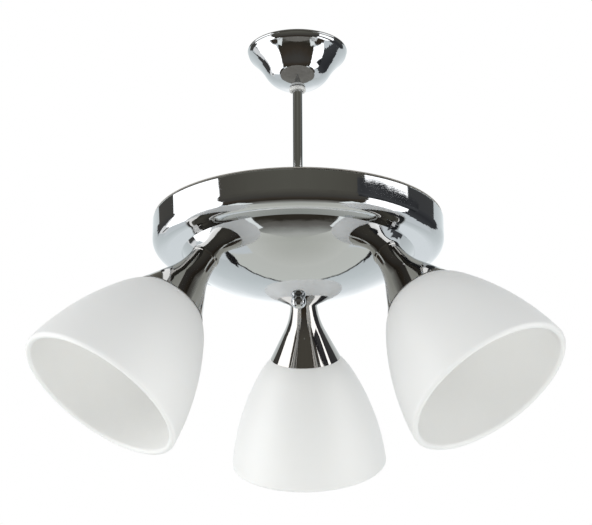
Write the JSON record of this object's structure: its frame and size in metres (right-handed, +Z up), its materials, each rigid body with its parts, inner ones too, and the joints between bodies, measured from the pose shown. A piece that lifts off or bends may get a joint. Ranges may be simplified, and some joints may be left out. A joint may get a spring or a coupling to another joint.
{
  "type": "ceiling chandelier",
  "caption": "Ceiling chandelier: a bell canopy and short rod carry a round domed pan, whose flared cones hold splayed bell-shaped opal glass shades.",
  "frame": {"origin": "on the ceiling, at the middle between the bracket's two slots", "axes": "+Z up, out of the ceiling side; the lamp hangs towards -Z, the single back lamp stands towards +Y and the two front lamps towards -Y"},
  "size_m": [0.4992, 0.4441, 0.4358],
  "materials": {
    "chrome": "polished chrome plating, mirror bright",
    "opal_glass": "matt white opal glass, satin outside and inside",
    "zinc_steel": "zinc plated steel, dull",
    "cover_paint": "satin grey lacquer on sheet steel",
    "ring_plastic": "pale, slightly clear moulded plastic",
    "holder_plastic": "white heat-proof moulded plastic",
    "block_plastic": "natural polyamide",
    "brass": "bare brass",
    "lead_sheath": "smooth white PVC sheath"
  },
  "bodies": {
    "fixture": {"ceiling_bracket": "zinc_steel", "bracket_nuts": "zinc_steel", "bracket_washer": "zinc_steel", "earth_screw": "brass", "terminal_block": "block_plastic", "terminal_screws": "zinc_steel", "connector_block": "block_plastic", "connector_screws": "zinc_steel", "down_rod": "chrome", "cover_nuts": "zinc_steel", "cover_washer": "zinc_steel", "pan_cover": "cover_paint", "pan": "chrome", "hickey": "zinc_steel", "centre_tube": "zinc_steel", "centre_nut": "zinc_steel", "finial": "chrome", "lamp_nipples": "zinc_steel", "dome_washers": "zinc_steel", "dome_nuts": "zinc_steel", "cone_nuts": "zinc_steel", "centre_contacts": "brass", "supply_lead": "lead_sheath", "seat_ring_left": "chrome", "lamp_cone_left": "chrome", "holder_cap_left": "holder_plastic", "holder_body_left": "holder_plastic", "holder_insert_left": "holder_plastic", "contact_shell_left": "brass", "lamp_lead_left": "lead_sheath", "seat_ring_right": "chrome", "lamp_cone_right": "chrome", "holder_cap_right": "holder_plastic", "holder_body_right": "holder_plastic", "holder_insert_right": "holder_plastic", "contact_shell_right": "brass", "lamp_lead_right": "lead_sheath", "seat_ring_back": "chrome", "lamp_cone_back": "chrome", "holder_cap_back": "holder_plastic", "holder_body_back": "holder_plastic", "holder_insert_back": "holder_plastic", "contact_shell_back": "brass", "lamp_lead_back": "lead_sheath"},
    "canopy": {"canopy": "chrome", "grip_ring": "ring_plastic"},
    "shade_left": {"glass_shade_left": "opal_glass"},
    "ring_left": {"shade_ring_left": "holder_plastic"},
    "shade_right": {"glass_shade_right": "opal_glass"},
    "ring_right": {"shade_ring_right": "holder_plastic"},
    "shade_back": {"glass_shade_back": "opal_glass"},
    "ring_back": {"shade_ring_back": "holder_plastic"}
  },
  "joints": [
    {"name": "canopy_slide", "type": "slide", "parent": "fixture", "child": "canopy", "axis": [0, 0, -1], "range_m": [0, 0.13]},
    {"name": "shade_lower_left", "type": "slide", "parent": "fixture", "child": "shade_left", "axis": [-0.5014, -0.2666, -0.8231], "range_m": [0, 0.0163]},
    {"name": "ring_turn_left", "type": "hinge", "parent": "shade_left", "child": "ring_left", "pos_m": [-0.08791, -0.04674, -0.24015], "axis": [-0.5014, -0.2666, -0.8231], "range_deg": [0, 2340]},
    {"name": "shade_lower_right", "type": "slide", "parent": "fixture", "child": "shade_right", "axis": [0.5014, -0.2666, -0.8231], "range_m": [0, 0.0163]},
    {"name": "ring_turn_right", "type": "hinge", "parent": "shade_right", "child": "ring_right", "pos_m": [0.08791, -0.04674, -0.24015], "axis": [0.5014, -0.2666, -0.8231], "range_deg": [0, 2340]},
    {"name": "shade_lower_back", "type": "slide", "parent": "fixture", "child": "shade_back", "axis": [0, 0.5678, -0.8231], "range_m": [0, 0.0163]},
    {"name": "ring_turn_back", "type": "hinge", "parent": "shade_back", "child": "ring_back", "pos_m": [0, 0.09957, -0.24015], "axis": [0, 0.5678, -0.8231], "range_deg": [0, 2340]}
  ],
  "couplings": [
    {"joint": "shade_lower_left", "follows": "ring_turn_left", "m_per_rad": 0.00039789},
    {"joint": "shade_lower_right", "follows": "ring_turn_right", "m_per_rad": 0.00039789},
    {"joint": "shade_lower_back", "follows": "ring_turn_back", "m_per_rad": 0.00039789}
  ]
}
